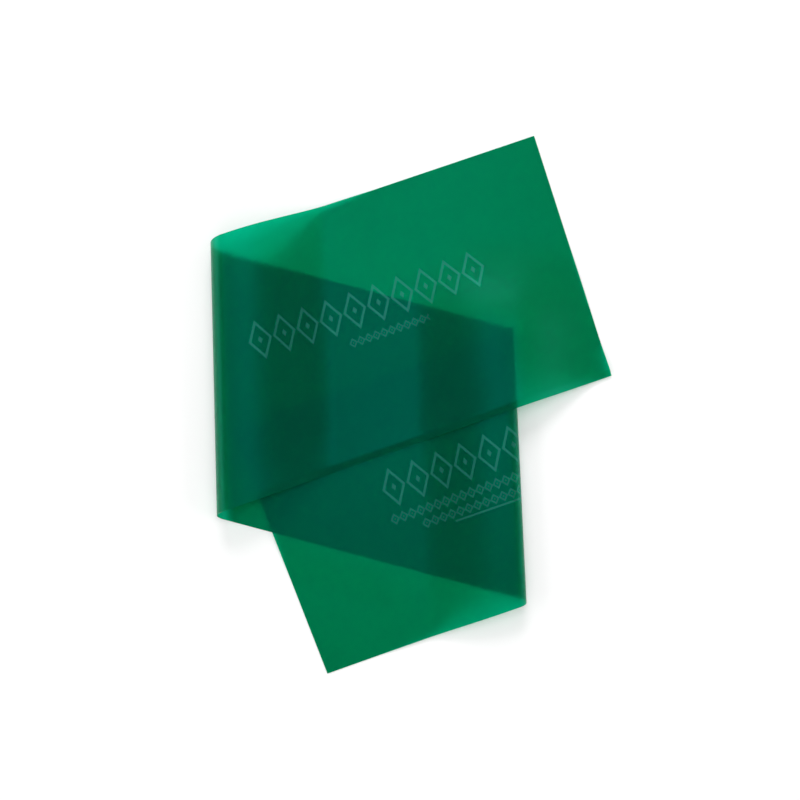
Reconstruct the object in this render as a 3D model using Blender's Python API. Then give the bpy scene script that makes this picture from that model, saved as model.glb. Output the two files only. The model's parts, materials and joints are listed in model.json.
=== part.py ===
"""Flat elastic resistance band, lying folded in three.

One strip of thin elastomer lies on the table as a middle leaf, turns over at the left into a
cover leaf on top of the pile, and turns over at the right into an end leaf between the two.
Both folds run the same way, so the whole strip is one section curve swept along the folds.
The sheet bends only in its two turns. Each turn is cut into narrow links, which hinge on each
other along the fold, so that the band can be opened.

Coordinates on the strip: "run" is measured square to the folds along the unrolled strip, and
"along" is measured along the folds from the strip's centre line. Metres, +Z up.
"""

import math
from dataclasses import dataclass

import bmesh
import bpy
import numpy as np
from mathutils import Vector

# The strip
WIDTH = 0.127
THICKNESS = 0.0003
GAP = 0.0003  # clear space between neighbouring pieces
STRIP_LEAN = math.radians(17.0)  # the strip against the square to its folds
FOLD_YAW = math.radians(2.2)  # the folds against the Y axis
CENTRE_AT_ZERO = -0.0156  # where the centre line crosses run zero, along the folds

# Where the strip is cut, on its centre line, and how far each cut leans from the folds
COVER_CUT_RUN = -0.2783
COVER_CUT_LEAN = 0.2425
END_CUT_RUN = 0.1807
END_CUT_LEAN = 0.324

# The two turns
LEFT_START = -0.0830  # run at which the middle leaf leaves the table
LEFT_RADIUS = 0.0069
LEFT_REACH = 0.0520  # how far back from its top the turn comes down on the pile
RIGHT_START = 0.0526
RIGHT_RADIUS = 0.0042
RIGHT_REACH = 0.0460
FALL_LAG = 1.25  # over 1 where the fall starts more gently than it ends

# Hinge lines, as the angle that the turn has reached there
LEFT_HINGES = [math.radians(15 + 30 * k) for k in range(6)]
RIGHT_HINGES = [math.radians(60), math.radians(120)]

# Levels of the sheet's middle where a leaf lies flat
TABLE_LEVEL = THICKNESS / 2
END_LEVEL = TABLE_LEVEL + THICKNESS + GAP
COVER_LEVEL = END_LEVEL + THICKNESS + GAP

# How the cover leaf drapes over the right-hand turn
DRAPE_RIGHT = 0.044
DRAPE_BEYOND = 0.052
SINK_WIDTH = 0.025  # over how far a leaf comes down off the edge of the pile

BAND_GREEN = (0.0, 0.27, 0.145, 1.0)

HALF_ALONG = WIDTH / 2 / math.cos(STRIP_LEAN)


@dataclass(frozen=True)
class Turn:
    """A half round turn, then a long smooth fall on to the next leaf."""

    start: float
    side: int
    radius: float
    reach: float
    rise: float

    def section(self, run):
        """Place across the folds, and height above the lower leaf, for places on the strip.

        The fall's length is the sum of its small slanted steps, and each run is looked up in it.
        """
        s = np.clip(self.side * (run - self.start), 0, None)
        turned = np.minimum(s / self.radius, math.pi)
        back = np.linspace(0, self.reach, 400)
        fall = (2 * self.radius - self.rise) * smooth_step((back / self.reach) ** FALL_LAG)
        length = np.concatenate([[0], np.cumsum(np.hypot(np.diff(back), np.diff(fall)))])
        past = np.clip(s - math.pi * self.radius, 0, None)
        gone = np.interp(past, length, back) + np.clip(past - length[-1], 0, None)
        out = self.radius * np.sin(turned) - gone
        up = self.radius * (1 - np.cos(turned)) - np.interp(past, length, fall)
        return self.start + self.side * out, up

    def hinge_run(self, angle):
        return self.start + self.side * self.radius * angle


def smooth_step(x):
    """Zero below 0, one above 1, with level ends."""
    x = np.clip(x, 0, 1)
    return x * x * (3 - 2 * x)


LEFT = Turn(LEFT_START, -1, LEFT_RADIUS, LEFT_REACH, COVER_LEVEL - TABLE_LEVEL)
RIGHT = Turn(RIGHT_START, 1, RIGHT_RADIUS, RIGHT_REACH, END_LEVEL - TABLE_LEVEL)


def centre_line(run):
    return CENTRE_AT_ZERO - math.tan(STRIP_LEAN) * run


def cover_drape(across, along):
    """Rise of the cover leaf over the right-hand turn, less its sinking to the table outside the pile."""
    crest_along = centre_line(RIGHT_START + math.pi * RIGHT_RADIUS) + HALF_ALONG
    crest = END_LEVEL - TABLE_LEVEL + 2 * RIGHT_RADIUS - COVER_LEVEL + TABLE_LEVEL + THICKNESS + 2 * GAP
    near = 1 - smooth_step((np.clip(RIGHT_START - across, 0, None) / RIGHT_REACH) ** FALL_LAG)
    far = 1 - smooth_step((across - RIGHT_START - RIGHT_RADIUS) / DRAPE_RIGHT)
    beyond = 1 - smooth_step((along - crest_along + GAP) / DRAPE_BEYOND)
    off_end = smooth_step((across - RIGHT_START - RIGHT_RADIUS) / SINK_WIDTH)
    off_edge = smooth_step((along - centre_line(across) - HALF_ALONG) / SINK_WIDTH)
    lying = smooth_step((across - LEFT_START - LEFT.reach) / SINK_WIDTH)
    sink = (1 - (1 - off_end) * (1 - off_edge)) * lying * (COVER_LEVEL - TABLE_LEVEL)
    return crest * near * far * beyond - sink


def end_sink(across, along):
    """Sinking of the end leaf to the table, where it runs off the middle leaf's lower edge."""
    off_edge = smooth_step((centre_line(across) - HALF_ALONG - along) / SINK_WIDTH)
    lying = smooth_step((RIGHT_START - RIGHT.reach - across) / SINK_WIDTH)
    return -off_edge * lying * (END_LEVEL - TABLE_LEVEL)


def on_sheet(run, offset):
    """World points of the sheet's middle, for run and distance from the centre line along the folds."""
    along = centre_line(run) + offset
    turned_left = run < LEFT_START
    across_left, up_left = LEFT.section(run)
    across_right, up_right = RIGHT.section(run)
    flat = ~turned_left & (run <= RIGHT_START)
    across = np.where(turned_left, across_left, np.where(flat, run, across_right))
    up = TABLE_LEVEL + np.where(turned_left, up_left, np.where(flat, 0, up_right))
    on_cover = run < LEFT.hinge_run(LEFT_HINGES[-1])
    on_end = run > RIGHT.hinge_run(RIGHT_HINGES[-1])
    up = up + np.where(on_cover, cover_drape(across, along), 0) + np.where(on_end, end_sink(across, along), 0)
    x = across * math.cos(FOLD_YAW) - along * math.sin(FOLD_YAW)
    y = across * math.sin(FOLD_YAW) + along * math.cos(FOLD_YAW)
    return np.stack([x, y, up], axis=-1)


def plan_centre():
    """Middle of the folded band's plan, which becomes the origin."""
    offsets = np.linspace(-HALF_ALONG, HALF_ALONG, 41)
    reach = np.linspace(0, 1, 161)[:, None]
    left_edge = COVER_CUT_RUN + COVER_CUT_LEAN * offsets
    right_edge = END_CUT_RUN + END_CUT_LEAN * offsets
    points = on_sheet(left_edge + reach * (right_edge - left_edge), offsets + 0 * reach).reshape(-1, 3)
    centre = (points.min(axis=0) + points.max(axis=0)) / 2
    return Vector((centre[0], centre[1], 0))


def rubber(name, tint):
    """Satin green elastomer; each piece has its own tint of it."""
    material = bpy.data.materials.new(name)
    material.use_nodes = True
    shader = material.node_tree.nodes["Principled BSDF"]
    colour = tuple(channel * tint for channel in BAND_GREEN[:3]) + (1.0,)
    shader.inputs["Base Color"].default_value = colour
    shader.inputs["Roughness"].default_value = 0.45
    shader.inputs["Metallic"].default_value = 0.0
    material.diffuse_color = colour
    return material


def sheet_piece(name, start_runs, end_runs, rows, columns, pivot, centre, tint):
    """A stretch of the strip between two lines across it, as a sheet with Blender's Solidify."""
    offsets = np.linspace(-HALF_ALONG, HALF_ALONG, columns + 1)
    share = np.linspace(0, 1, rows + 1)[:, None]
    runs = start_runs(offsets) + share * (end_runs(offsets) - start_runs(offsets))
    points = on_sheet(runs, offsets + 0 * share)

    form = bmesh.new()
    grid = [[form.verts.new(Vector(p) - centre - pivot) for p in row] for row in points.tolist()]
    for low, high in zip(grid, grid[1:]):
        for a, b, c, d in zip(low, high, high[1:], low[1:]):
            form.faces.new((a, b, c, d))
    mesh = bpy.data.meshes.new(name)
    form.to_mesh(mesh)
    form.free()
    mesh.materials.append(rubber(name, tint))
    mesh.shade_smooth()

    piece = bpy.data.objects.new(name, mesh)
    piece.location = pivot
    bpy.context.scene.collection.objects.link(piece)
    wall = piece.modifiers.new("thickness", "SOLIDIFY")
    wall.thickness = THICKNESS
    wall.offset = 0.0
    wall.use_even_offset = False
    return piece


def line_at(run):
    """A cut along the folds at one run."""
    return lambda offsets: np.full_like(offsets, run)


def slanted_cut(run, lean):
    """A free end, cut nearly square to the strip."""
    return lambda offsets: run + lean * offsets


def hinge_point(turn, angle, centre):
    """Middle of a hinge line, on the sheet's middle."""
    return Vector(on_sheet(np.array([turn.hinge_run(angle)]), np.array([0.0]))[0].tolist()) - centre


def build_middle_leaf(centre):
    """The leaf on the table, with the beginnings of both turns."""
    start = LEFT.hinge_run(LEFT_HINGES[0]) + GAP / 2
    end = RIGHT.hinge_run(RIGHT_HINGES[0]) - GAP / 2
    sheet_piece("middle_leaf", line_at(start), line_at(end), 150, 4, Vector((0, 0, 0)), centre, 0.85)


def build_left_links(centre):
    """The narrow links of the left-hand turn, from the middle leaf up and over."""
    for number, (low, high) in enumerate(zip(LEFT_HINGES, LEFT_HINGES[1:]), start=1):
        start = LEFT.hinge_run(high) + GAP / 2
        end = LEFT.hinge_run(low) - GAP / 2
        pivot = hinge_point(LEFT, low, centre)
        sheet_piece(f"left_turn_{number}", line_at(start), line_at(end), 4, 4, pivot, centre, 0.95)


def build_cover_leaf(centre):
    """The top leaf, from the left-hand turn to the free end."""
    start = slanted_cut(COVER_CUT_RUN, COVER_CUT_LEAN)
    end = line_at(LEFT.hinge_run(LEFT_HINGES[-1]) - GAP / 2)
    pivot = hinge_point(LEFT, LEFT_HINGES[-1], centre)
    sheet_piece("cover_leaf", start, end, 64, 22, pivot, centre, 1.15)


def build_right_link(centre):
    """The link of the right-hand turn."""
    start = RIGHT.hinge_run(RIGHT_HINGES[0]) + GAP / 2
    end = RIGHT.hinge_run(RIGHT_HINGES[1]) - GAP / 2
    pivot = hinge_point(RIGHT, RIGHT_HINGES[0], centre)
    sheet_piece("right_turn", line_at(start), line_at(end), 8, 4, pivot, centre, 0.95)


def build_end_leaf(centre):
    """The leaf between the other two, from the right-hand turn to the other free end."""
    start = line_at(RIGHT.hinge_run(RIGHT_HINGES[1]) + GAP / 2)
    end = slanted_cut(END_CUT_RUN, END_CUT_LEAN)
    pivot = hinge_point(RIGHT, RIGHT_HINGES[1], centre)
    sheet_piece("end_leaf", start, end, 48, 14, pivot, centre, 1.05)


def main():
    for item in list(bpy.data.objects):
        bpy.data.objects.remove(item, do_unlink=True)
    centre = plan_centre()
    build_middle_leaf(centre)
    build_left_links(centre)
    build_cover_leaf(centre)
    build_right_link(centre)
    build_end_leaf(centre)


main()
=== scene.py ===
"""Visual model of a flat elastic resistance band that lies folded in three.

The band is one strip of thin, translucent elastomer. Every piece here is a stretch of the same
sheet surface: a section curve across the folds, carried along them. "Run" is the distance
square to the folds along the unrolled strip, "offset" the distance from the strip's centre
line along the folds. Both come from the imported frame's hinge lines, so the skin lies in the CAD
model's own place.
"""

import functools
import json
import logging
import math
from dataclasses import dataclass
from enum import Enum
from typing import Callable

import bpy
import numpy as np
from mathutils import Matrix, Vector


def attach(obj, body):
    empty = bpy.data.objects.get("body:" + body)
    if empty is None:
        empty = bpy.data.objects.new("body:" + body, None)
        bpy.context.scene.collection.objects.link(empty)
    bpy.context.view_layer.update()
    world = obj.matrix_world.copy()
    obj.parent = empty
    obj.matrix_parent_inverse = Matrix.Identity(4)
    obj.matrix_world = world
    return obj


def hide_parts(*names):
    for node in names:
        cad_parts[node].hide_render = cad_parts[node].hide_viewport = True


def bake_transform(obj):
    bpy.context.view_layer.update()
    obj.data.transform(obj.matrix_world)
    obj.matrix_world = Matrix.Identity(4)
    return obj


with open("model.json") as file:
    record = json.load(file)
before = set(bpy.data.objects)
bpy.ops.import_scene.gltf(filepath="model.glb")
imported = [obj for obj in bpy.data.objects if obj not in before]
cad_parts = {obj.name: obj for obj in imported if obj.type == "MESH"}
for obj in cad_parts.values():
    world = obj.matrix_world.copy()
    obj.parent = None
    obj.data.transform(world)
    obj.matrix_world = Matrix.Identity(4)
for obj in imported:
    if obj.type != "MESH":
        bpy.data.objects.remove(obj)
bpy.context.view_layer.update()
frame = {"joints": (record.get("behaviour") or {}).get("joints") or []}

LOG = logging.getLogger("band")
MM = 0.001

# The band's cut width, its sheet's thickness, and the clear space between two leaves.
BAND_WIDTH = 127.0 * MM
SHEET_THICKNESS = 0.3 * MM
LEAF_GAP = 0.3 * MM

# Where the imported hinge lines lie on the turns, in degrees round them.
LEFT_FIRST_HINGE = 15.0
LEFT_HINGE_SPAN = 150.0
RIGHT_FIRST_HINGE = 60.0

# How far across the folds the sheet falls from each turn on to the next leaf.
LEFT_REACH = 52.0 * MM
RIGHT_REACH = 46.0 * MM

# The free ends' cuts: run past the left-hand turn's start on the centre line, and the lean.
COVER_CUT = (-195.3 * MM, 0.2425)
END_CUT = (263.7 * MM, 0.324)

Array = np.ndarray
Cut = Callable[[Array], Array]


class Face(Enum):
    """The two faces of the strip, as material slots of a piece's mesh."""

    PLAIN = 0
    PRINTED = 1


def smooth_step(x: Array) -> Array:
    """Zero below 0, one above 1, with level ends: 3x^2 - 2x^3.

    Args:
        x: the places, as shares of the step's width.

    Returns:
        The step's heights.
    """
    x = np.clip(x, 0.0, 1.0)
    return x * x * (3.0 - 2.0 * x)


# ---------------------------------------------------------------- the sheet's shape


@dataclass(frozen=True)
class Turn:
    """A half round turn, then a long smooth fall on to the next leaf.

    It starts at a run, on the left (side -1) or the right (side 1). Radius is the turn's, rise
    the next leaf's height, reach the length of the fall, and lag the power that delays it.
    """

    start: float
    side: int
    radius: float
    rise: float
    reach: float
    lag: float = 1.25
    steps: int = 400

    def section(self, run: Array) -> tuple[Array, Array]:
        """Place across the folds and height above the lower leaf.

        The turn is r sin(t), r (1 - cos(t)) up to 180 degrees. The fall is a smooth step of a
        power of the way back, from the turn's top to the rise; its length is the sum of its
        small slanted steps, and each run is looked up in it.

        Args:
            run: places on the unrolled strip.

        Returns:
            The places across the folds, and the heights.
        """
        s = np.clip(self.side * (run - self.start), 0.0, None)
        turned = np.minimum(s / self.radius, math.pi)
        back = np.linspace(0.0, self.reach, self.steps)
        fall = (2 * self.radius - self.rise) * smooth_step((back / self.reach) ** self.lag)
        length = np.concatenate([[0.0], np.cumsum(np.hypot(np.diff(back), np.diff(fall)))])
        past = np.clip(s - math.pi * self.radius, 0.0, None)
        gone = np.interp(past, length, back) + np.clip(past - length[-1], 0.0, None)
        out = self.radius * np.sin(turned) - gone
        up = self.radius * (1 - np.cos(turned)) - np.interp(past, length, fall)
        return self.start + self.side * out, up

    def run_at(self, angle: float) -> float:
        """Run at which the turn has reached an angle, in radians."""
        return self.start + self.side * self.radius * angle


@dataclass(frozen=True)
class Strip:
    """The band's sheet: its cut sizes, and the surface on which it lies folded.

    Yaw turns the folds from the y axis. Lean is the angle between the strip and the square
    across the folds. A cut is its run on the centre line and its lean. The drapes and the sink
    are widths of smooth steps, and the lower edge's lift and droop are heights and widths.
    """

    left: Turn
    right: Turn
    yaw: float
    lean: float
    centre_at_zero: float
    width: float
    thickness: float
    gap: float
    cover_cut: tuple[float, float]
    end_cut: tuple[float, float]
    drape_right: float = 44.0 * MM
    drape_beyond: float = 52.0 * MM
    sink_width: float = 25.0 * MM
    edge_lift: tuple[float, float] = (1.6 * MM, 22.0 * MM)
    edge_droop: tuple[float, float] = (0.9 * MM, 3.8 * MM)

    @property
    def half_along(self) -> float:
        """Half the strip's extent along the folds."""
        return self.width / 2 / math.cos(self.lean)

    def centre_line(self, run: Array) -> Array:
        """Place of the strip's centre line along the folds."""
        return self.centre_at_zero - math.tan(self.lean) * run

    def cover_drape(self, across: Array, along: Array) -> Array:
        """Rise of the cover leaf over the right-hand turn, less its sinking outside the pile.

        The rise is the turn's height times a smooth step up towards its crest, one down past
        it, and one down beyond the turn's upper end. The sinking is the pile's height, eased
        in off the pile's right-hand and upper edges.

        Args:
            across: places across the folds.
            along: places along the folds.

        Returns:
            The heights to add.
        """
        pile = 2 * (self.thickness + self.gap)
        crest_along = self.centre_line(self.right.run_at(math.pi)) + self.half_along
        crest = 2 * self.right.radius + self.gap
        side = across - self.right.start
        near = 1 - smooth_step((np.clip(-side, 0.0, None) / self.right.reach) ** self.right.lag)
        far = 1 - smooth_step((side - self.right.radius) / self.drape_right)
        beyond = 1 - smooth_step((along - crest_along + self.gap) / self.drape_beyond)
        off_end = smooth_step((side - self.right.radius) / self.sink_width)
        past_edge = along - self.centre_line(across) - self.half_along
        off_edge = smooth_step(past_edge / self.sink_width)
        lying = smooth_step((across - self.left.start - self.left.reach) / self.sink_width)
        off_pile = 1 - (1 - off_end) * (1 - off_edge)
        return crest * near * far * beyond - off_pile * lying * pile

    def end_sink(self, across: Array, along: Array) -> Array:
        """Sinking of the end leaf on to the table: a smooth step off the middle leaf's edge.

        Args:
            across: places across the folds.
            along: places along the folds.

        Returns:
            The heights to add.
        """
        past_edge = self.centre_line(across) - self.half_along - along
        off_edge = smooth_step(past_edge / self.sink_width)
        lying = smooth_step((self.right.start - self.right.reach - across) / self.sink_width)
        return -off_edge * lying * (self.thickness + self.gap)

    def edge_rise(self, run: Array, offset: Array) -> Array:
        """Rise of the cover leaf's lower edge off the pile, past the left-hand turn.

        It is a broad smooth step up towards the edge, less a narrow one down at the edge.

        Args:
            run: distances square to the folds on the unrolled strip.
            offset: distances from the centre line along the folds.

        Returns:
            The heights to add.
        """
        inside = offset + self.half_along
        (lift, broad), (droop, narrow) = self.edge_lift, self.edge_droop
        rise = lift * smooth_step(1 - inside / broad) - droop * smooth_step(1 - inside / narrow)
        past_turn = self.left.run_at(math.pi) - run
        return rise * smooth_step(past_turn / self.left.reach)

    def place(self, run: Array, offset: Array) -> Array:
        """Points of the sheet's middle surface.

        A point is its section's place across the folds and its height, moved along them, and
        the whole is turned by the yaw.

        Args:
            run: distances square to the folds on the unrolled strip.
            offset: distances from the centre line along the folds, of the same shape.

        Returns:
            The points, with x, y and z on the last axis.
        """
        along = self.centre_line(run) + offset
        turned_left = run < self.left.start
        turned_right = run > self.right.start
        across_left, up_left = self.left.section(run)
        across_right, up_right = self.right.section(run)
        across = np.where(turned_right, across_right, run)
        across = np.where(turned_left, across_left, across)
        up = np.where(turned_left, up_left, np.where(turned_right, up_right, 0.0))
        cover = self.cover_drape(across, along) + self.edge_rise(run, offset)
        up = up + np.where(run < self.left.run_at(math.pi), cover, 0.0)
        up = up + np.where(run > self.right.run_at(math.pi), self.end_sink(across, along), 0.0)
        x = across * math.cos(self.yaw) - along * math.sin(self.yaw)
        y = across * math.sin(self.yaw) + along * math.cos(self.yaw)
        return np.stack([x, y, up + self.thickness / 2], axis=-1)

    def normal(self, run: Array, offset: Array) -> Array:
        """Unit normals of the middle surface, from the cross product of its two slopes.

        Args:
            run: distances square to the folds on the unrolled strip.
            offset: distances from the centre line along the folds.

        Returns:
            The normals, on the last axis.
        """
        step = 0.01 * MM
        by_run = self.place(run + step, offset) - self.place(run - step, offset)
        by_offset = self.place(run, offset + step) - self.place(run, offset - step)
        normal = np.cross(by_run, by_offset)
        return normal / np.linalg.norm(normal, axis=-1, keepdims=True)

    def cut_coordinates(self, run: Array, offset: Array) -> Array:
        """Distances along and across the strip itself, for the print and the grain.

        Args:
            run: distances square to the folds on the unrolled strip.
            offset: distances from the centre line along the folds.

        Returns:
            The two distances, on the last axis.
        """
        across_strip = offset * math.cos(self.lean)
        along_strip = (run - across_strip * math.sin(self.lean)) / math.cos(self.lean)
        return np.stack([along_strip, across_strip], axis=-1)

    @classmethod
    def from_frame(cls, width: float, thickness: float, gap: float) -> "Strip":
        """Reads the turns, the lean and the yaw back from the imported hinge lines.

        The hinge lines' places are on the sheet's centre line. The left-hand turn's lie evenly
        from 15 to 165 degrees round it and the right-hand turn's at 60 and 120, so the height
        between two of them gives each radius.

        Args:
            width: the strip's width.
            thickness: the sheet's thickness.
            gap: the clear space between two leaves.

        Returns:
            The strip, placed in the frame.
        """
        joints = {joint["name"]: joint for joint in frame["joints"]}
        axis = joints["right_fold_opens_1"]["axis"]
        yaw = math.atan2(-axis[0], axis[1])
        unturn = Matrix.Rotation(-yaw, 3, "Z")
        left_low, left_high = (
            unturn @ Vector(joints[f"left_fold_opens_{k}"]["pos_m"]) for k in (1, 6))
        right_low, right_high = (
            unturn @ Vector(joints[f"right_fold_opens_{k}"]["pos_m"]) for k in (1, 2))
        left_first = math.radians(LEFT_FIRST_HINGE)
        right_first = math.radians(RIGHT_FIRST_HINGE)
        left_radius = (left_high.z - left_low.z) / 2 / math.cos(left_first)
        right_radius = (right_high.z - right_low.z) / 2 / math.cos(right_first)
        hinge_run = left_radius * math.radians(LEFT_HINGE_SPAN)
        lean = math.atan2(left_high.y - left_low.y, hinge_run)
        left_start = left_low.x + left_radius * math.sin(left_first)
        right_start = right_low.x - right_radius * math.sin(right_first)
        first_run = left_start - left_radius * left_first
        level = thickness + gap
        return cls(
            left=Turn(left_start, -1, left_radius, 2 * level, LEFT_REACH),
            right=Turn(right_start, 1, right_radius, level, RIGHT_REACH),
            yaw=yaw,
            lean=lean,
            centre_at_zero=left_low.y + math.tan(lean) * first_run,
            width=width,
            thickness=thickness,
            gap=gap,
            cover_cut=(left_start + COVER_CUT[0], COVER_CUT[1]),
            end_cut=(left_start + END_CUT[0], END_CUT[1]),
        )


# ---------------------------------------------------------------- shader maths


class Shade:
    """One value socket, with the operators of arithmetic; each adds a Math node."""

    def __init__(self, tree: "Tree", socket: bpy.types.NodeSocket) -> None:
        """Wraps a socket of a tree."""
        self.tree = tree
        self.socket = socket

    def _math(self, operation: str, *values: "Shade | float") -> "Shade":
        """A Math node of this operation."""
        return self.tree.value("ShaderNodeMath", values, operation=operation)

    def __add__(self, other: "Shade | float") -> "Shade":
        """Sum."""
        return self._math("ADD", self, other)

    def __radd__(self, other: float) -> "Shade":
        """Reflected sum."""
        return self._math("ADD", other, self)

    def __sub__(self, other: "Shade | float") -> "Shade":
        """Difference."""
        return self._math("SUBTRACT", self, other)

    def __rsub__(self, other: float) -> "Shade":
        """Reflected difference."""
        return self._math("SUBTRACT", other, self)

    def __mul__(self, other: "Shade | float") -> "Shade":
        """Product."""
        return self._math("MULTIPLY", self, other)

    def __rmul__(self, other: float) -> "Shade":
        """Reflected product."""
        return self._math("MULTIPLY", other, self)

    def __truediv__(self, other: "Shade | float") -> "Shade":
        """Quotient."""
        return self._math("DIVIDE", self, other)

    def __abs__(self) -> "Shade":
        """Absolute value."""
        return self._math("ABSOLUTE", self)

    def low(self, other: "Shade | float") -> "Shade":
        """The smaller of two."""
        return self._math("MINIMUM", self, other)

    def high(self, other: "Shade | float") -> "Shade":
        """The larger of two."""
        return self._math("MAXIMUM", self, other)

    def floor(self) -> "Shade":
        """Whole part."""
        return self._math("FLOOR", self)

    def inside(self, edge: float, blur: float) -> "Shade":
        """One where this is below an edge and zero above it.

        Args:
            edge: the value at the middle of the change.
            blur: the width over which it is eased.

        Returns:
            The mask.
        """
        ease = self.tree.add("ShaderNodeMapRange", interpolation_type="SMOOTHSTEP")
        self.tree.feed(ease, {
            "Value": self,
            "From Min": edge - blur / 2,
            "From Max": edge + blur / 2,
            "To Min": 1.0,
            "To Max": 0.0,
        })
        return Shade(self.tree, ease.outputs["Result"])


class Tree:
    """A material's node tree, with one method that adds any node."""

    def __init__(self, name: str) -> None:
        """Starts an empty material.

        Args:
            name: the material's name.
        """
        self.material = bpy.data.materials.new(name)
        self.material.use_nodes = True
        self.nodes = self.material.node_tree.nodes
        self.links = self.material.node_tree.links
        self.nodes.clear()

    def add(self, kind: str, **settings: object) -> bpy.types.Node:
        """Adds a node.

        Args:
            kind: the node's type.
            **settings: its properties, set first.

        Returns:
            The node.
        """
        node = self.nodes.new(kind)
        for name, value in settings.items():
            setattr(node, name, value)
        return node

    def feed(self, node: bpy.types.Node, sockets: dict[str | int, object]) -> bpy.types.Node:
        """Sets or links a node's input sockets.

        Args:
            node: the node.
            sockets: a value, a Shade or an output socket for each input's name or number.

        Returns:
            The same node.
        """
        for key, value in sockets.items():
            if isinstance(value, Shade):
                self.links.new(value.socket, node.inputs[key])
            elif isinstance(value, bpy.types.NodeSocket):
                self.links.new(value, node.inputs[key])
            else:
                node.inputs[key].default_value = value
        return node

    def value(self, kind: str, inputs: tuple, **settings: object) -> Shade:
        """Adds a node whose first output is a value.

        Args:
            kind: the node's type.
            inputs: what its inputs are fed, in order.
            **settings: its properties.

        Returns:
            Its first output.
        """
        node = self.feed(self.add(kind, **settings), dict(enumerate(inputs)))
        return Shade(self, node.outputs[0])

    def mix(self, share: Shade | float, first: object, second: object) -> bpy.types.NodeSocket:
        """A colour between two colours.

        Args:
            share: the second colour's share.
            first: the first colour, or the socket that gives it.
            second: the second one.

        Returns:
            The mixed colour's socket.
        """
        node = self.add("ShaderNodeMix", data_type="RGBA")
        self.feed(node, {0: share, 6: first, 7: second})
        return node.outputs[2]


# ---------------------------------------------------------------- finishes


@dataclass(frozen=True)
class PrintRow:
    """One row of a generic ornament printed on the band: outlined lozenges, or a plain line.

    Places are on the strip: start and stop along it, middle and height across it. Stroke is the
    width of the lozenges' outline; a row without one is a line as high as the row.
    """

    start: float
    stop: float
    middle: float
    height: float
    pitch: float = 0.0
    stroke: float = 0.0
    blur: float = 0.25 * MM
    lozenge_width: float = 0.84
    core: float = 0.22

    def mask(self, tree: Tree, along: Shade, across: Shade) -> Shade:
        """One on the row's ink, zero off it.

        A lozenge is a band about |x| / half width + |y| / half height = 1 in each cell, with a
        small solid one inside it. A line is |y| below half the height.

        Args:
            tree: the material's tree.
            along: the place along the strip.
            across: the place across it.

        Returns:
            The mask.
        """
        half_length = abs(self.stop - self.start) / 2
        within = abs(along - (self.start + self.stop) / 2).inside(half_length, self.blur)
        y = abs(across - self.middle)
        if not self.stroke:
            return y.inside(self.height / 2, self.blur) * within
        cell = (along - self.start) / self.pitch
        x = abs(cell - cell.floor() - 0.5) * self.pitch
        half_width = self.pitch * self.lozenge_width / 2
        half_height = self.height / 2
        slope = math.hypot(half_width, half_height) / (half_width * half_height)
        reach = x / half_width + y / half_height
        outline = (abs(reach - 1.0) / slope).inside(self.stroke / 2, self.blur)
        return outline.high(reach.inside(self.core, self.blur * slope)) * within


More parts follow.
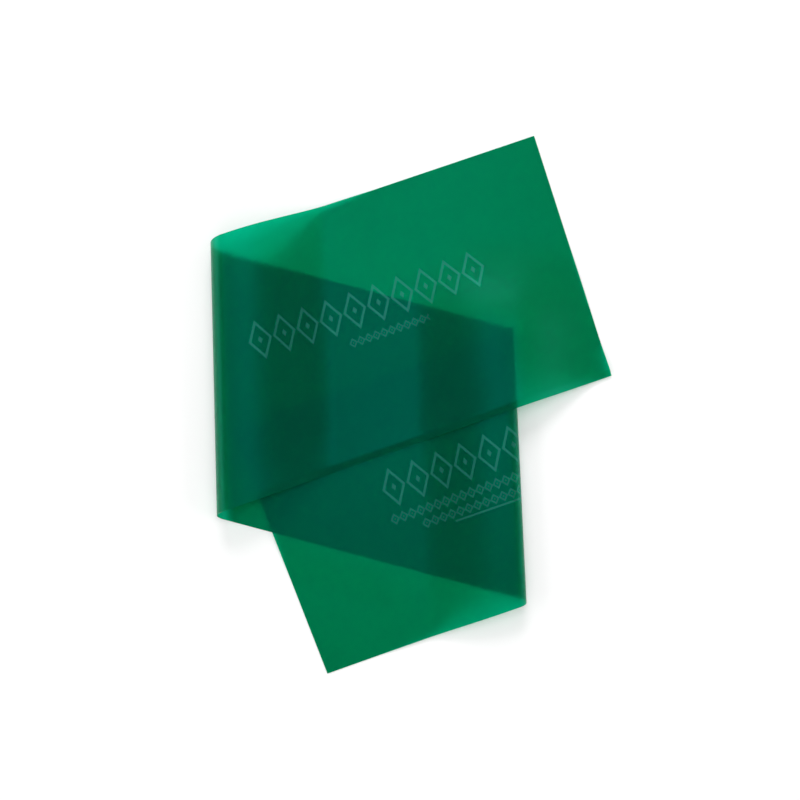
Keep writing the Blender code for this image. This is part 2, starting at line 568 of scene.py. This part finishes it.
@dataclass(frozen=True)
class BandRubber:
    """Translucent green elastomer, lightly frosted, with its print on one face."""

    rows: tuple[PrintRow, ...]
    green: tuple[float, float, float] = (0.0, 0.475, 0.244)
    deep_green: tuple[float, float, float] = (0.0, 0.459, 0.232)
    ink: tuple[float, float, float] = (0.05, 0.37, 0.31)
    sheen: tuple[float, float, float] = (0.0, 0.85, 0.8)
    ink_cover: float = 0.27
    ink_roughness: float = 0.12
    clearness: float = 0.95
    roughness: float = 0.36
    roughness_spread: float = 0.06
    index: float = 1.4
    cloud_scale: tuple[float, float, float] = (14.0, 22.0, 1.0)
    grain_scale: tuple[float, float, float] = (240.0, 2600.0, 1.0)
    grain_depth: float = 0.05 * MM
    grain_strength: float = 0.12
    wear_scale: tuple[float, float, float] = (900.0, 900.0, 1.0)
    wear_least: float = 0.55
    wear_spread: float = 0.6

    def material(self, name: str, face: Face) -> bpy.types.Material:
        """Makes the finish of one face of the band.

        Args:
            name: the material's name.
            face: which face it is for; only the printed one holds ink.

        Returns:
            The material.
        """
        tree = Tree(name)
        place = tree.add("ShaderNodeUVMap", uv_map="strip").outputs["UV"]
        cloud = self.noise(tree, place, self.cloud_scale, 2.0)
        grain = self.noise(tree, place, self.grain_scale, 3.0)
        colour = tree.mix(cloud, (*self.green, 1.0), (*self.deep_green, 1.0))
        rough = self.roughness - self.roughness_spread / 2 + cloud * self.roughness_spread
        bump = tree.feed(tree.add("ShaderNodeBump"), {
            "Strength": self.grain_strength, "Distance": self.grain_depth, "Height": grain})
        shader = tree.add("ShaderNodeBsdfPrincipled")
        if face is Face.PRINTED:
            printed = self.print_mask(tree, place)
            colour = tree.mix(printed, colour, (*self.ink, 1.0))
            rough = rough + printed * self.ink_roughness
            tree.feed(shader, {"Metallic": printed * self.ink_cover})
        tree.feed(shader, {
            "Base Color": colour,
            "Roughness": rough,
            "IOR": self.index,
            "Transmission Weight": self.clearness,
            "Specular Tint": (*self.sheen, 1.0),
            "Normal": bump.outputs["Normal"],
        })
        tree.feed(tree.add("ShaderNodeOutputMaterial"), {"Surface": shader.outputs["BSDF"]})
        return tree.material

    def print_mask(self, tree: Tree, place: bpy.types.NodeSocket) -> Shade:
        """Where the ink lies: the highest of the rows' masks, worn unevenly by a fine noise.

        Args:
            tree: the material's tree.
            place: the place on the strip.

        Returns:
            The share of ink.
        """
        axes = tree.feed(tree.add("ShaderNodeSeparateXYZ"), {0: place})
        along, across = Shade(tree, axes.outputs["X"]), Shade(tree, axes.outputs["Y"])
        mask = functools.reduce(Shade.high, [row.mask(tree, along, across) for row in self.rows])
        wear = self.noise(tree, place, self.wear_scale, 2.0)
        return mask * (self.wear_least + wear * self.wear_spread).low(1.0)

    @staticmethod
    def noise(tree: Tree, place: bpy.types.NodeSocket, scale: tuple[float, float, float],
              detail: float) -> Shade:
        """Noise from 0 to 1 over the strip, drawn out by a scale in each direction.

        Args:
            tree: the material's tree.
            place: the place on the strip.
            scale: the noise's fineness along and across the strip.
            detail: its number of finer layers.

        Returns:
            The noise.
        """
        stretched = tree.feed(tree.add("ShaderNodeMapping"), {"Vector": place, "Scale": scale})
        node = tree.feed(tree.add("ShaderNodeTexNoise"), {
            "Vector": stretched.outputs["Vector"], "Scale": 1.0, "Detail": detail})
        return Shade(tree, node.outputs["Fac"])


# ---------------------------------------------------------------- pieces


@dataclass(frozen=True)
class Skin:
    """A stretch of the band's sheet between two lines across it, as a thin solid.

    Row and column are its faces' sizes. Seams says at which of its two lines the sheet goes on
    in another piece.
    """

    name: str
    strip: Strip
    start: Cut
    stop: Cut
    row: float = 1.2 * MM
    column: float = 1.0 * MM
    seams: tuple[bool, bool] = (False, False)
    fewest_rows: int = 6
    sharp_from: float = math.radians(40)

    def build(self, finishes: dict[Face, bpy.types.Material]) -> bpy.types.Object:
        """Makes the piece's mesh.

        Its two faces are half a thickness off the middle surface along the normals, and a rim
        joins them. At a seam the next piece goes on from the same points, so there is no rim.

        Args:
            finishes: the material of each face.

        Returns:
            The piece, with its place in its mesh.
        """
        strip = self.strip
        columns = round(2 * strip.half_along / self.column)
        offsets = np.linspace(-strip.half_along, strip.half_along, columns + 1)
        span = float(np.max(np.abs(self.stop(offsets) - self.start(offsets))))
        rows = max(self.fewest_rows, round(span / self.row))
        share = np.linspace(0.0, 1.0, rows + 1)[:, None]
        run = self.start(offsets) + share * (self.stop(offsets) - self.start(offsets))
        offset = offsets + 0.0 * share
        middle = strip.place(run, offset)
        lift = strip.normal(run, offset) * strip.thickness / 2
        points = np.concatenate([middle + lift, middle - lift]).reshape(-1, 3)

        index = np.arange((rows + 1) * (columns + 1)).reshape(rows + 1, columns + 1)
        corner_points = [index[:-1, :-1], index[1:, :-1], index[1:, 1:], index[:-1, 1:]]
        quads = np.stack(corner_points, axis=-1).reshape(-1, 4)
        under = index.size
        sides = [index[:, 0], index[::-1, -1]]
        if not self.seams[0]:
            sides.append(index[0, ::-1])
        if not self.seams[1]:
            sides.append(index[-1])
        wall = np.concatenate([
            np.stack([side[:-1], side[:-1] + under, side[1:] + under, side[1:]], axis=-1)
            for side in sides])
        faces = np.concatenate([quads, quads[:, ::-1] + under, wall])
        printed = np.zeros(len(faces), dtype=np.int32)
        printed[len(quads): 2 * len(quads)] = Face.PRINTED.value

        mesh = bpy.data.meshes.new(self.name)
        mesh.from_pydata(points, [], faces.tolist())
        mesh.polygons.foreach_set("material_index", printed)
        cut = np.tile(strip.cut_coordinates(run, offset).reshape(-1, 2), (2, 1))
        corners = np.empty(len(mesh.loops), dtype=np.int32)
        mesh.loops.foreach_get("vertex_index", corners)
        places = mesh.uv_layers.new(name="strip").data
        places.foreach_set("uv", cut[corners].astype(np.float32).ravel())
        for face in Face:
            mesh.materials.append(finishes[face])
        smooth = np.ones(len(faces), dtype=bool)
        smooth[2 * len(quads):] = False
        mesh.polygons.foreach_set("use_smooth", smooth)
        mesh.update()
        mesh.set_sharp_from_angle(angle=self.sharp_from)
        piece = bpy.data.objects.new(self.name, mesh)
        bpy.context.scene.collection.objects.link(piece)
        LOG.info("%s: %d faces", self.name, len(faces))
        return piece

    @property
    def flat_area(self) -> float:
        """Area of the stretch before it was folded: its mean length times its width.

        Both are measured square to the folds and along them.

        Returns:
            The area, in square metres.
        """
        offsets = np.linspace(-self.strip.half_along, self.strip.half_along, 201)
        length = np.mean(np.abs(self.stop(offsets) - self.start(offsets)))
        return float(length) * 2 * self.strip.half_along


@dataclass(frozen=True)
class Leaf:
    """A leaf's skin, the body that it rides on, and what lies with it."""

    skin: Skin
    body: str
    rests_on: tuple[str, ...]
    turns: tuple[bpy.types.Object, ...]


@dataclass
class Band:
    """The whole band: three leaves, and the skins of the two turns between them."""

    strip: Strip
    finish: BandRubber
    left_links: int = 5
    left_seams: tuple[int, ...] = (0, 30, 60, 90, 120, 150, 180)
    right_seams: tuple[int, ...] = (30, 90, 150)
    turn_row: float = 0.3 * MM

    def line(self, run: float) -> Cut:
        """A line along the folds at one run."""
        return lambda offsets: np.full_like(offsets, run)

    def cut(self, at: tuple[float, float]) -> Cut:
        """A free end's cut, from its run on the centre line and its lean from the folds."""
        return lambda offsets: at[0] + at[1] * offsets

    def build(self) -> None:
        """Builds every piece of the band, and joins each leaf to its body."""
        finishes = {
            Face.PLAIN: self.finish.material("band_plain_face", Face.PLAIN),
            Face.PRINTED: self.finish.material("band_printed_face", Face.PRINTED),
        }
        strip = self.strip
        left_top = self.line(strip.left.run_at(math.pi))
        right_low, right_high = (
            self.line(strip.right.run_at(math.radians(self.right_seams[k]))) for k in (0, -1))
        middle = Skin("middle_leaf_skin", strip, self.line(strip.left.start), right_low)
        cover = Skin("cover_leaf_skin", strip, self.cut(strip.cover_cut), left_top)
        end = Skin("end_leaf_skin", strip, right_high, self.cut(strip.end_cut))
        links = [f"left_turn_{k}" for k in range(1, self.left_links + 1)]
        left = self.turn(finishes, strip.left, ["middle_leaf", *links, "cover_leaf"],
                         self.left_seams, "left_turn_skin")
        right = self.turn(finishes, strip.right, ["middle_leaf", "right_turn", "end_leaf"],
                          self.right_seams, "right_turn_skin")
        self.lay(finishes, Leaf(middle, "middle_leaf", (), ()))
        self.lay(finishes, Leaf(end, "end_leaf", (middle.name,), tuple(right)))
        self.lay(finishes, Leaf(cover, "cover_leaf", (end.name, middle.name), tuple(left)))

    def lay(self, finishes: dict[Face, bpy.types.Material], leaf: Leaf) -> None:
        """Args:
            finishes: the material of each face.
            leaf: the leaf.
        """
        piece = leaf.skin.build(finishes)
        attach(piece, leaf.body)
        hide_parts(leaf.body)
        flat = (self.strip.width, leaf.skin.flat_area / self.strip.width)
        LOG.info("%s: flat %.0f x %.0f mm", piece.name, *(side / MM for side in flat))

    def turn(self, finishes: dict[Face, bpy.types.Material], turn: Turn, bodies: list[str],
             seams: tuple[int, ...], name: str) -> list[bpy.types.Object]:
        """Skins one turn, a piece for each hinge line, each from one seam to the next.

        The pieces run square to the folds and stay where they are built. The CAD parts of the
        bodies between the first and the last are hidden.

        Args:
            finishes: the material of each face.
            turn: the turn.
            bodies: the bodies along the turn, one more than its pieces.
            seams: where the pieces meet, in degrees of the turn.
            name: the pieces' name, before their numbers.

        Returns:
            The pieces, from the lower body to the upper one.
        """
        pieces = []
        for number, (low, high) in enumerate(zip(seams, seams[1:]), start=1):
            runs = [turn.run_at(math.radians(angle)) for angle in (low, high)]
            skin = Skin(f"{name}_{number}", self.strip, self.line(min(runs)),
                        self.line(max(runs)), row=self.turn_row, seams=(True, True))
            piece = skin.build(finishes)
            start, end = (self.square_to_folds(run, runs[0]) for run in runs)
            bodies[number - 1]
            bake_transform(piece)
            if number < len(seams) - 1:
                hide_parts(bodies[number])
            pieces.append(piece)
        return pieces

    def square_to_folds(self, run: float, level_with: float) -> tuple[float, ...]:
        """A point of the sheet at one run, as far along the folds as another run's middle.

        Args:
            run: the point's run.
            level_with: the run on the centre line that it is level with.

        Returns:
            The point.
        """
        offset = self.strip.centre_line(level_with) - self.strip.centre_line(run)
        return tuple(self.strip.place(np.array([run]), np.array([offset]))[0])


# ---------------------------------------------------------------- the studio


@dataclass(frozen=True)
class Lamp:
    """A rectangular light: its middle, two sides and brightness.

    It is aimed at the band, or else looks straight down.
    """

    name: str
    place: tuple[float, float, float]
    size: tuple[float, float]
    radiance: float
    aimed: bool = True


LAMPS = (
    Lamp("overhead", (0.005, 0.215, 0.95), (0.41, 0.77), 2.4, aimed=False),
    Lamp("key", (-0.1, 1.25, 0.75), (0.9, 0.5), 6.5),
    Lamp("left", (-1.4, 0.0, 0.62), (1.6, 0.75), 2.3),
    Lamp("right", (1.4, 0.0, 0.62), (1.6, 0.75), 2.1),
    Lamp("front", (0.0, -1.4, 0.62), (1.6, 0.75), 1.7),
)


@dataclass(frozen=True)
class Studio:
    """Plain white table, the lights round it, and the camera.

    Tilt is the camera's angle from straight above, heading the way that it leans.
    """

    target: tuple[float, float, float] = (-0.0058, -0.0008, 0.0)
    distance: float = 0.5012
    tilt: float = math.radians(4.86)
    heading: float = math.radians(-97.2)
    lens: float = 45.8
    sensor: float = 36.0
    nearest: float = 0.01
    lamps: tuple[Lamp, ...] = LAMPS
    table_half: float = 3.0
    table_drop: float = 0.05 * MM
    table_white: float = 0.98
    sky: float = 0.37
    bounces: int = 16

    def table(self) -> None:
        """A wide white floor, just clear of the band's lowest face."""
        mesh = bpy.data.meshes.new("table_top")
        ways = ((-1, -1), (1, -1), (1, 1), (-1, 1))
        corners = [(x * self.table_half, y * self.table_half, -self.table_drop) for x, y in ways]
        mesh.from_pydata(corners, [], [(0, 1, 2, 3)])
        tree = Tree("white_table")
        shader = tree.feed(tree.add("ShaderNodeBsdfPrincipled"), {
            "Base Color": (*(self.table_white,) * 3, 1.0),
            "Roughness": 0.9,
            "Specular IOR Level": 0.0,
        })
        tree.feed(tree.add("ShaderNodeOutputMaterial"), {"Surface": shader.outputs["BSDF"]})
        mesh.materials.append(tree.material)
        floor = bpy.data.objects.new("table_top", mesh)
        bpy.context.scene.collection.objects.link(floor)

    def lamp(self, lamp: Lamp) -> None:
        """Adds a soft light of even brightness.

        Its power is its radiance times pi times its area.

        Args:
            lamp: the light.
        """
        data = bpy.data.lights.new(lamp.name, "AREA")
        data.shape = "RECTANGLE"
        data.size, data.size_y = lamp.size
        data.energy = lamp.radiance * math.pi * lamp.size[0] * lamp.size[1]
        light = bpy.data.objects.new(lamp.name, data)
        light.location = lamp.place
        if lamp.aimed:
            light.rotation_mode = "QUATERNION"
            light.rotation_quaternion = (-Vector(lamp.place)).to_track_quat("-Z", "Y")
        light.visible_camera = False
        bpy.context.scene.collection.objects.link(light)

    def light(self) -> None:
        """Lights the table so that it comes out white, with a sheen from overhead."""
        world = bpy.data.worlds.new("studio")
        world.use_nodes = True
        background = world.node_tree.nodes["Background"]
        background.inputs["Color"].default_value = (1.0, 1.0, 1.0, 1.0)
        background.inputs["Strength"].default_value = self.sky
        bpy.context.scene.world = world
        for lamp in self.lamps:
            self.lamp(lamp)

    def camera(self) -> None:
        """Puts the camera nearly straight above, looking at the middle of the view."""
        data = bpy.data.cameras.new("camera")
        data.sensor_width = self.sensor
        data.lens = self.lens
        data.clip_start = self.nearest
        camera = bpy.data.objects.new("camera", data)
        bpy.context.scene.collection.objects.link(camera)
        level = math.sin(self.tilt)
        back = Vector((level * math.cos(self.heading), level * math.sin(self.heading),
                       math.cos(self.tilt)))
        right = Vector((0.0, 1.0, 0.0)).cross(back).normalized()
        up = back.cross(right)
        camera.matrix_world = Matrix((right, up, back)).transposed().to_4x4()
        camera.location = Vector(self.target) + back * self.distance
        bpy.context.scene.camera = camera

    def build(self) -> None:
        """Makes the table, the lights and the camera."""
        self.table()
        self.light()
        self.camera()
        scene = bpy.context.scene
        scene.view_settings.view_transform = "Standard"
        scene.cycles.max_bounces = self.bounces
        scene.cycles.transmission_bounces = self.bounces


# The cover leaf's two rows, then the lower leaf's four.
PRINT = (
    PrintRow(start=-0.1295, stop=-0.2535, middle=0.0087, height=0.0172, pitch=0.0124,
             stroke=0.0012),
    PrintRow(start=-0.1775, stop=-0.2190, middle=-0.0065, height=0.0040, pitch=0.0040,
             stroke=0.0006),
    PrintRow(start=0.1265, stop=0.0025, middle=0.0105, height=0.0172, pitch=0.0124,
             stroke=0.0012),
    PrintRow(start=0.1270, stop=0.0350, middle=-0.0045, height=0.0046, pitch=0.0044,
             stroke=0.0007),
    PrintRow(start=0.1130, stop=0.0350, middle=-0.0112, height=0.0042, pitch=0.0044,
             stroke=0.0007),
    PrintRow(start=0.0970, stop=0.0350, middle=-0.0150, height=0.0009),
)


def main() -> None:
    """Builds the band and its studio, and reports each piece."""
    logging.basicConfig(level=logging.INFO, format="%(name)s: %(message)s")
    strip = Strip.from_frame(width=BAND_WIDTH, thickness=SHEET_THICKNESS, gap=LEAF_GAP)
    Band(strip, BandRubber(rows=PRINT)).build()
    Studio().build()


if __name__ == "__main__":
    main()
